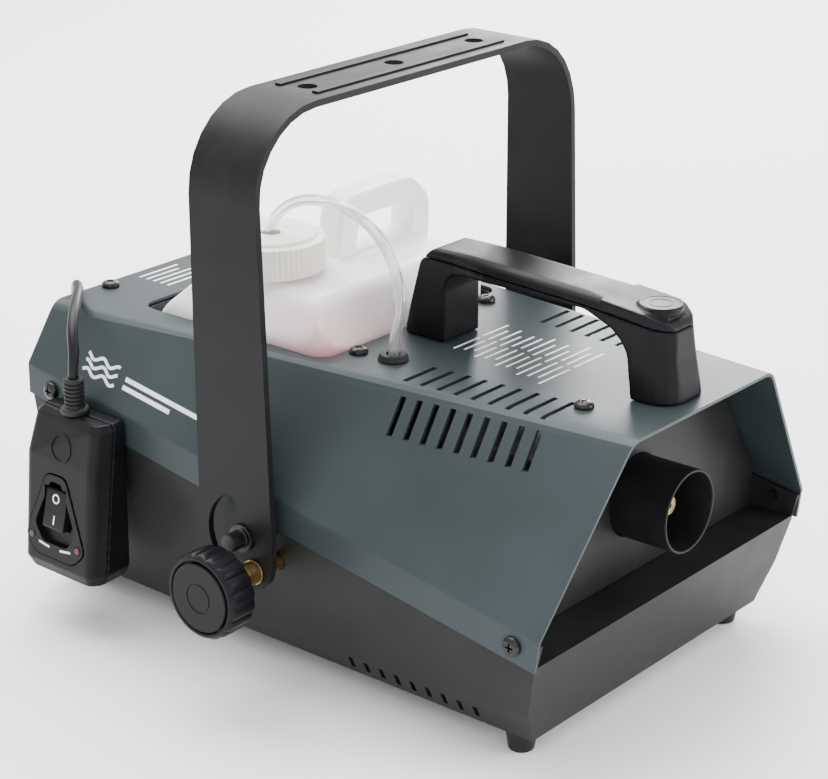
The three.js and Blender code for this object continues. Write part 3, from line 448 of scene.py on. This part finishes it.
CORD_R = 2.5
CORD_STEP = 2.5  # mm between the points of its line
CORD_FLOOR = CORD_R + 0.3 - SHIFT_Z
COIL = {"x": 38.0, "y": 188.0, "inner": 20.1, "outer": 36.4, "pitch": 4.96, "layers": 4}
COIL_START = math.radians(158)
TURN_STEPS = 40
CROSSING = 0.3  # share of a turn that climbs from one layer to the next
CROSSING_STEPS = 12
SPIRAL = ((34, 2.6), (30.5, 5.6), (26.5, 9.6), (22, 15), (17.5, 21.2), (13.5, 27.6))  # radius, rise
SPIRAL_STEP = math.radians(24)
RELIEF_AT = (-109.0, 96.4)
RELIEF_TOP = 107.0
RELIEF_GROOVES = {"from": 94.2, "to": 104.6, "pitch": 1.9}


def coil_line():
    """Layers wound clockwise, out to in and in to out by turns, each a cord's width above the last."""
    travel = COIL["outer"] - COIL["inner"]
    turns = travel / COIL["pitch"]
    line = []
    angle = COIL_START
    for layer in range(COIL["layers"]):
        inward = layer % 2 == 0
        steps = round(turns * TURN_STEPS)
        for i in range(steps + 1):
            share = i / steps
            radius = COIL["outer"] - travel * (share if inward else 1 - share)
            line.append((radius, angle - 2 * math.pi * turns * share, CORD_FLOOR + 2 * CORD_R * layer))
        angle -= 2 * math.pi * turns
        if layer < COIL["layers"] - 1:
            radius = COIL["inner"] if inward else COIL["outer"]
            for i in range(1, CROSSING_STEPS):
                share = i / CROSSING_STEPS
                lift = 2 * CORD_R * (layer + share)
                line.append((radius, angle - 2 * math.pi * CROSSING * share, CORD_FLOOR + lift))
            angle -= 2 * math.pi * CROSSING
    return [(COIL["x"] + r * math.cos(a), COIL["y"] + r * math.sin(a), z) for r, a, z in line], angle


def cord_line():
    """Up from the remote, over the rear edge, down behind the case, round the coil and up to the plug."""
    drop = [
        (*RELIEF_AT, RELIEF_TOP + 0.5), (-108.8, 96.4, 112.5), (-107.3, 97.4, 118), (-103, 102.4, 124.6),
        (-96, 109.1, 129.2), (-86, 117.8, 132.2), (-76, 127, 133), (-68.8, 135.8, 131.8),
        (-63.6, 141.9, 125), (-57, 147, 105), (-51, 150, 80), (-44, 153, 50), (-36, 158, 25),
        (-27, 166, 7), (-18.5, 175.5, -3), (-10.5, 184.3, CORD_FLOOR + 0.4), (-3, 192.5, CORD_FLOOR),
    ]
    coil, angle = coil_line()
    top_layer = CORD_FLOOR + 2 * CORD_R * (COIL["layers"] - 1)
    spiral = []
    for i, (radius, rise) in enumerate(SPIRAL):
        at = angle - SPIRAL_STEP * (i + 1)
        spiral.append((COIL["x"] + radius * math.cos(at), COIL["y"] + radius * math.sin(at),
                       top_layer + rise))
    tail = [(48.2, 179.6, 42.2), (42.2, 173, 46.6), (38.3, 167.6, 48)]
    return spline_points([case_point(*p) for p in drop + coil + spiral + tail], CORD_STEP * MM)


def add_cord():
    line = cord_line()
    data = bpy.data.curves.new("cord", "CURVE")
    data.dimensions = "3D"
    data.bevel_depth = CORD_R * MM
    data.bevel_resolution = 3
    data.use_fill_caps = True
    spline = data.splines.new("POLY")
    spline.points.add(len(line) - 1)
    for point, position in zip(spline.points, line):
        point.co = (*position, 1)
    spline.use_smooth = True
    data.materials.append(FINISHES["cord_jacket"])
    piece = bpy.data.objects.new("cord", data)
    bpy.context.scene.collection.objects.link(piece)
    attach(piece, "chassis")
    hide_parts("cord_drop", "cord_coil", "cord_tail")
    return piece


def add_relief():
    """A collared sleeve, ringed with grooves."""
    profile = [(0, 83), (3.8, 83), (3.8, 90.8), (6.3, 90.8), (6.5, 91.4), (6.5, 92.6), (6.0, 93.3),
               (4.7, 93.6)]
    z = RELIEF_GROOVES["from"]
    while z < RELIEF_GROOVES["to"]:
        profile += [(4.7, z), (4.7, z + 0.9), (3.9, z + 1.1), (3.9, z + 1.7)]
        z += RELIEF_GROOVES["pitch"]
    profile += [(4.7, z), (4.8, z + 0.6), (4.4, RELIEF_TOP), (2.6, RELIEF_TOP), (0, RELIEF_TOP)]
    mesh = turned("strain_relief", "z", case_point(*RELIEF_AT, 0), profile, 48)
    return place("strain_relief", mesh, "chassis", "black_rubber", replaces=["remote_strain_relief"])


cord = add_cord()
relief = add_relief()
plug = edged("cord_plug", 0.8, 3)
tie = edged("cord_tie", 0.25)

# ---------------------------------------------------------------- case

TOP_Z = 127.9
REAR_Y = 136.6
FRONT_EDGE_Y = -156.3
FOLD_Z = (54.8, 102.1)  # lower bend at the front and at the rear
FRONT_TOP_Y = -165.072
TOP_HALF = (51.9, 81.9)  # half the top's width at the front and at the rear
CASE_HALF = 100.0
CASE_SHARP = 40  # degrees
RAY_START = 0.01  # metres outside the face that a ray is sent to


def surface_of(node):
    mesh = NODES[node].data
    return BVHTree.FromPolygons([v.co for v in mesh.vertices], [list(p.vertices) for p in mesh.polygons])


COVER = surface_of("top_cover")


def along(y, y0, v0, y1, v1):
    """The value at y on the straight line from v0 at y0 to v1 at y1."""
    return v0 + (v1 - v0) * (y - y0) / (y1 - y0)


def on_left_slant(y, t, lift):
    """Point on the slanted left face: y along the case, t up from the lower bend to the upper, in mm."""
    fold = along(y, FRONT_EDGE_Y, FOLD_Z[0], REAR_Y, FOLD_Z[1])
    top = along(y, FRONT_TOP_Y, TOP_HALF[0], REAR_Y, TOP_HALF[1])
    slope = Vector((CASE_HALF - top, TOP_Z - fold)).normalized()
    outward = Vector((-slope.y, 0, slope.x))
    start = case_point(-CASE_HALF + slope.x * t, y, fold + slope.y * t) + outward * RAY_START
    return COVER.ray_cast(start, -outward)[0] + outward * lift * MM


def on_top(x, y, lift):
    return case_point(x, y, TOP_Z + lift)


def add_case():
    edged("top_cover", 0.3, angle=CASE_SHARP)
    for node in ("lower_chassis", "front_panel", "rear_panel", "tank_tray"):
        edged(node, 0.3, material=CHASSIS_PAINT, angle=CASE_SHARP)
    for end in ("front", "rear"):
        for side, _ in SIDES:
            edged(f"foot_{end}_{side}", 0.6, 3)


def add_prints():
    """White printing: drifting fog lines and bars on the side, and plain rules on the top."""
    meshes = []
    for row in range(3):
        line = [(y, t + 1.2 * math.sin(2 * math.pi * i / 16 + row))
                for i, (y, t) in enumerate(straight((106, 9.6 + 3.6 * row), (86, 9.6 + 3.6 * row), 32))]
        meshes.append(band(line, 1.5, on_left_slant))
    for start, end, t in ((81, 36, 14.6), (81, 52, 10.8)):
        meshes.append(band(straight((start, t), (end, t)), 2.1, on_left_slant))
    printed("side_print", meshes)
    meshes = []
    for row in range(13):
        y = -44 - 4.5 * row
        left = -14 - 0.9 * row + 2.5 * (row % 3)
        right = 25 - 5 * (row % 2) - 1.2 * (row % 5)
        middle = (left + right) / 2
        meshes.append(band(straight((left, y), (middle - 1.5, y), 1), 1.1, on_top))
        meshes.append(band(straight((middle + 1.5, y), (right, y), 1), 1.1, on_top))
    printed("top_print", meshes)
    meshes = []
    for row in range(5):
        y = 130 - 4.6 * row
        meshes.append(band(straight((-34, y), (-9 - 4 * (row % 2), y), 1), 1.4, on_top))
    printed("rear_print", meshes)


def add_screws():
    """Pan heads with a cross recess."""
    profile = [(0, -4.8), (1.8, -4.8), (1.8, 0.3), (4.05, 0.3), (4.25, 0.5), (4.2, 1.2), (3.8, 1.9),
               (3.0, 2.4), (1.9, 2.65), (0.9, 2.7), (0, 2.7)]
    for node in [n for n in NODES if "_screw_" in n]:
        low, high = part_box(node)
        middle = (low + high) / 2
        if node.startswith("top"):
            axis, foot, sign = "z", Vector((middle.x, middle.y, (TOP_Z + SHIFT_Z) * MM)), 1
        else:
            sign = 1 if middle.x > 0 else -1
            axis, foot = "x", Vector((sign * CASE_HALF * MM, middle.y, middle.z))
        mesh = turned(node + "_fine", axis, foot, [(r, sign * s) for r, s in profile], 40)
        screw = place(node + "_fine", mesh, "chassis", "screw_black", replaces=[node])
        cutter = cross_cutter(node, axis, foot, sign)
        cut = screw.modifiers.new("recess", "BOOLEAN")
        cut.object = cutter
        cut.operation = "DIFFERENCE"
        cut.solver = "EXACT"
        applied(screw)
        smoothed(screw.data)
        bpy.data.objects.remove(cutter)


CROSS_ARM = (0.5, 2.2)  # half an arm's width, and its length from the middle
CROSS_ENDS = ((1.2, 0.6), (4.0, 1.15))  # height over the case and scale of the cross, at either end


def cross_cutter(node, axis, foot, sign):
    """A cross-shaped prism that tapers into the head."""
    shape = bmesh.new()
    turn = AXIS_TURN[axis]
    wide, long = CROSS_ARM
    quarter = [(wide, wide), (wide, long), (-wide, long)]
    outline = []
    for i in range(4):
        for x, y in quarter:
            for _ in range(i):
                x, y = -y, x
            outline.append((x, y))
    rings = []
    for height, size in CROSS_ENDS:
        rings.append([
            shape.verts.new(turn @ Vector((x * size * MM, y * size * MM, sign * height * MM)) + foot)
            for x, y in outline])
    shape.faces.new(rings[1])
    shape.faces.new(rings[0][::-1])
    for i in range(len(outline)):
        j = (i + 1) % len(outline)
        shape.faces.new((rings[0][i], rings[0][j], rings[1][j], rings[1][i]))
    bmesh.ops.recalc_face_normals(shape, faces=shape.faces)
    mesh = bpy.data.meshes.new("cutter_" + node)
    shape.to_mesh(mesh)
    shape.free()
    cutter = bpy.data.objects.new("cutter_" + node, mesh)
    bpy.context.scene.collection.objects.link(cutter)
    return cutter


NOZZLE_Z = 78.5


def add_nozzle():
    centre = case_point(0, 0, NOZZLE_Z)
    profile = [(6.4, -124), (22.4, -124), (22.4, -130.2), (18.4, -130.2), (18.4, -159.6), (18.1, -160),
               (17.5, -160), (17.2, -159.6), (17.2, -126), (6.4, -126)]
    mesh = turned("nozzle_shroud_fine", "y", centre, profile, 120, closed=True)
    place("nozzle_shroud_fine", mesh, "chassis", "black_paint", replaces=["nozzle_shroud"])
    tip = [(0, -112.5), (6, -112.5), (6, -132), (5.2, -133), (5.2, -144), (4, -150), (1.2, -150),
           (1.2, -140), (0, -140)]
    mesh = turned("nozzle_tip_fine", "y", centre, tip, 48)
    place("nozzle_tip_fine", mesh, "chassis", "brass", replaces=["nozzle_tip"])


HIDDEN = ("heater_block", "pump", "delivery_pipe", "control_board", "remote_socket", "remote_bracket",
          "pickup_filter", "tank_cap_seal")


def finish_hidden():
    """The nodes that hardly show keep their CAD shape."""
    for node in HIDDEN:
        NODES[node].data.materials.clear()
        NODES[node].data.materials.append(FINISHES[SLOT_OF[node]])


add_case()
add_prints()
add_screws()
add_nozzle()
finish_hidden()
edged("mains_inlet", 0.4)
edged("fuse_cap", 0.4)
edged("hose_grommet", 0.5, 3)

# ---------------------------------------------------------------- handle, yoke and clamps

FLUTES = {"count": 18, "depth": 0.95, "from": 18.7}
STUD_AT = (-12.6, 45.7)
PAD_Y = -141


def knob_radius(radius, distance, angle):
    """Shallow rounded flutes on the rim only."""
    if radius < FLUTES["from"]:
        return radius
    wave = abs(math.sin(FLUTES["count"] * angle / 2)) ** 0.55
    return radius - FLUTES["depth"] * (1 - wave)


def add_knob(side, sign):
    profile = [
        (0, 144), (6, 144), (6.1, 143.7), (6.6, 143.7), (6.7, 144), (14.9, 144), (15.3, 143.6),
        (15.3, 141), (16.2, 141), (16.2, 143.2), (16.6, 143.5), (17.5, 143.4), (18.2, 142.6),
        (19.0, 141.6), (19.2, 140.8), (19.2, 130.6), (18.8, 129.4), (17.6, 129), (9.2, 129),
        (9, 128.6), (8.4, 120.8), (4.3, 120.6), (4.3, 138), (0, 138),
    ]
    centre = case_point(0, *STUD_AT)
    mesh = turned(f"knob_{side}_fine", "x", centre, [(r, sign * s) for r, s in profile], 432,
                  radius_at=knob_radius)
    place(f"knob_{side}_fine", mesh, f"knob_{side}", "black_plastic", replaces=[f"knob_{side}"])


def add_clamps():
    for side, sign in SIDES:
        add_knob(side, sign)
        for node, bevel in (("pivot_bolt", 0.5), ("knob_washer", 0.2), ("knob_stud", 0.3)):
            edged(f"{node}_{side}", bevel)


def add_handle_pad():
    """A plain ring let into the handle's front pad."""
    centre = case_point(0, PAD_Y, 0)
    for name, inner, outer in (("outer", 8.3, 8.9), ("inner", 4.6, 5.0)):
        profile = [(inner, 166.6), (outer, 166.6), (outer, 167.05), (inner, 167.05)]
        mesh = turned(f"handle_ring_{name}", "z", centre, profile, 64, closed=True)
        place(f"handle_ring_{name}", mesh, "chassis", "black_plastic")


moulded("carry_handle", 0.6, 5)
moulded("carry_handle_cap", 0.6, 4)
edged("yoke", 0.45, 3, angle=CASE_SHARP)
add_clamps()
add_handle_pad()

# ---------------------------------------------------------------- tank, cap and hose

CAP = {"x": -34.0, "y": 45.0, "r": 24.5, "low": 152.0, "high": 168.0, "ribs": 60, "depth": 0.5}
GROMMET_AT = (-42, -33)
HOSE_RADII = (2.5, 1.7)  # outside and bore
HOSE_SIDES = 28
HOSE_STEP = 2  # mm


def cap_radius(radius, distance, angle):
    """Fine ribs round the cap's side."""
    if radius < CAP["r"] - 0.6 or not CAP["low"] + 0.6 < distance < CAP["high"] - 2.4:
        return radius
    return radius - CAP["depth"] * (0.5 - 0.5 * math.cos(CAP["ribs"] * angle)) ** 2


def add_tank():
    moulded("fluid_tank", 0.9, 10)
    r, low, high = CAP["r"], CAP["low"], CAP["high"]
    profile = [
        (4.4, 165), (20.6, 165), (20.6, low), (r - 0.6, low), (r, low + 0.5), (r, low + 1),
        (r, high - 2.9), (r - 0.3, high - 2), (r - 1.6, high - 1.5), (r - 3.4, high - 1.4),
        (r - 3.8, high - 0.5), (r - 4.4, high), (9, high), (8.6, high - 0.3), (4.8, high - 0.3),
        (4.4, high - 0.6),
    ]
    mesh = turned("tank_cap_fine", "z", case_point(CAP["x"], CAP["y"], 0), profile, 480, closed=True,
                  radius_at=cap_radius)
    place("tank_cap_fine", mesh, "cap", "cap_plastic", replaces=["tank_cap"])


def add_hose():
    """A clear tube with a bore."""
    x, y = CAP["x"], CAP["y"]
    end_x, end_y = GROMMET_AT
    route = [
        (x, y, 75.3), (x, y, 120), (x, y, 158), (x, y - 0.1, 168), (-34.7, 41.2, 175.6),
        (-35.8, 34, 181.8), (-37, 25.5, 186.3), (-38, 12, 189.4), (-39, -8.5, 187.8),
        (-40, -24.2, 179.6), (-41, -33.6, 166.4), (-41.8, -36.6, 151), (end_x, end_y - 1, 138),
        (end_x, end_y, 126), (end_x, end_y, 104),
    ]
    line = spline_points([case_point(*p) for p in route], HOSE_STEP * MM)
    shape = bmesh.new()
    rings = []
    across = Vector((1, 0, 0))
    for i, point in enumerate(line):
        ahead = (line[min(i + 1, len(line) - 1)] - line[max(i - 1, 0)]).normalized()
        across = (across - across.dot(ahead) * ahead).normalized()
        other = ahead.cross(across)
        angles = [2 * math.pi * k / HOSE_SIDES for k in range(HOSE_SIDES)]
        rings.append([[
            shape.verts.new(point + radius * MM * (across * math.cos(angle) + other * math.sin(angle)))
            for angle in angles] for radius in HOSE_RADII])
    for a, b in zip(rings, rings[1:]):
        for wall in (0, 1):
            for k in range(HOSE_SIDES):
                m = (k + 1) % HOSE_SIDES
                shape.faces.new((a[wall][k], a[wall][m], b[wall][m], b[wall][k]))
    for end in (rings[0], rings[-1]):
        for k in range(HOSE_SIDES):
            m = (k + 1) % HOSE_SIDES
            shape.faces.new((end[0][k], end[0][m], end[1][m], end[1][k]))
    bmesh.ops.recalc_face_normals(shape, faces=shape.faces)
    mesh = bpy.data.meshes.new("feed_hose_fine")
    shape.to_mesh(mesh)
    shape.free()
    mesh.shade_smooth()
    place("feed_hose_fine", mesh, "tank", "clear_hose", replaces=["feed_hose"])


add_tank()
add_hose()

# ---------------------------------------------------------------- remote

FACE = {"x": -122.0, "y": 98.0, "z": 48.5, "lean": 0.085, "yaw": 0.02}
FRONT_SHELL = surface_of("remote_front_shell")
OUTSIDE_X = -200
ROCKER_SURFACE = ((37.8, 1.9), (47, 0.3), (56.2, -0.4))  # height, and how far it stands out of the face
RING = {"at": (-2.0, 76.5), "r": 6.2}


def on_face(y, z, lift):
    """Point on the remote's outer face: y from its middle, z up, lift outward, in millimetres."""
    x = FACE["x"] + FACE["lean"] * (z - FACE["z"]) + FACE["yaw"] * y
    return case_point(x - lift, FACE["y"] + y, z)


def on_rocker(y, z, lift):
    low, middle, high = ROCKER_SURFACE
    ends = (low, middle) if z < middle[0] else (middle, high)
    return on_face(y, z, lift + along(z, *ends[0], *ends[1]))


def on_shell(y, z, lift):
    """Point on the front shell over its whole height, found from outside."""
    start = case_point(OUTSIDE_X, FACE["y"] + y, z)
    return FRONT_SHELL.ray_cast(start, Vector((1, 0, 0)))[0] - Vector((lift * MM, 0, 0))


def add_marks():
    """The rocker's O and I, two short rules by the lamps, and a plain ring over the rocker."""
    o_mark = band(circle((0, 52), 1.9, 32), 0.7, on_rocker, thickness=0.1, closed=True)
    i_mark = band([(0, 40.2), (0, 44.2)], 0.8, on_rocker, thickness=0.1)
    printed("rocker_marks", [o_mark, i_mark], "rocker")
    rules = [band([(sign * 10.5, 29.2), (sign * 3.5, 28.2)], 1.0, on_face, lift=0.42)
             for _, sign in SIDES]
    printed("bezel_rules", rules)
    mesh = band(circle(RING["at"], RING["r"], 48), 1.1, on_shell, lift=-0.2, thickness=0.6, closed=True)
    place("remote_ring", smoothed(mesh), "chassis", "black_plastic")


moulded("remote_front_shell", 0.5, 4)
moulded("remote_back_shell", 0.6, 4)
edged("remote_bezel", 0.35)
edged("remote_rocker", 0.4, 3)
edged("remote_lamp_front", 0.5, 3)
edged("remote_lamp_rear", 0.5, 3)
add_marks()

# ---------------------------------------------------------------- floor and light


FLOOR_HALF = 6.0
FLOOR_DROP = 0.0002  # keeps the floor's face off the feet's
LIT_POINT = (0, 0, 0.1)
SKY = 1.6


def add_floor():
    mesh = bpy.data.meshes.new("floor")
    corners = [(x, y, -FLOOR_DROP) for y in (-FLOOR_HALF, FLOOR_HALF) for x in (-FLOOR_HALF, FLOOR_HALF)]
    mesh.from_pydata(corners, [], [(0, 1, 3, 2)])
    floor = bpy.data.objects.new("floor", mesh)
    bpy.context.scene.collection.objects.link(floor)
    mesh.materials.append(finish("floor", (0.94, 0.94, 0.94), (0.96, 0.96, 0.96), 0.8, patch=2, grain=120,
                                 relief=0.01))


def add_light(name, at, size, power):
    data = bpy.data.lights.new(name, "AREA")
    data.shape = "RECTANGLE"
    data.size, data.size_y = size
    data.energy = power
    light = bpy.data.objects.new(name, data)
    light.location = at
    light.rotation_euler = (Vector(LIT_POINT) - Vector(at)).to_track_quat("-Z", "Y").to_euler()
    bpy.context.scene.collection.objects.link(light)


def add_lights():
    world = bpy.data.worlds.new("studio")
    bpy.context.scene.world = world
    world.use_nodes = True
    background = world.node_tree.nodes["Background"]
    background.inputs["Color"].default_value = (1, 1, 1, 1)
    background.inputs["Strength"].default_value = SKY
    add_light("overhead", (0.3, 0.6, 1.6), (1.6, 1.6), 70)
    add_light("rear_right", (1.6, 0.75, 0.85), (0.8, 0.7), 30)
    add_light("front_left", (-1.5, -0.9, 0.9), (0.9, 1.2), 5)
    add_light("front_right", (0.9, -1.6, 0.7), (0.9, 1.1), 27)


add_floor()
add_lights()
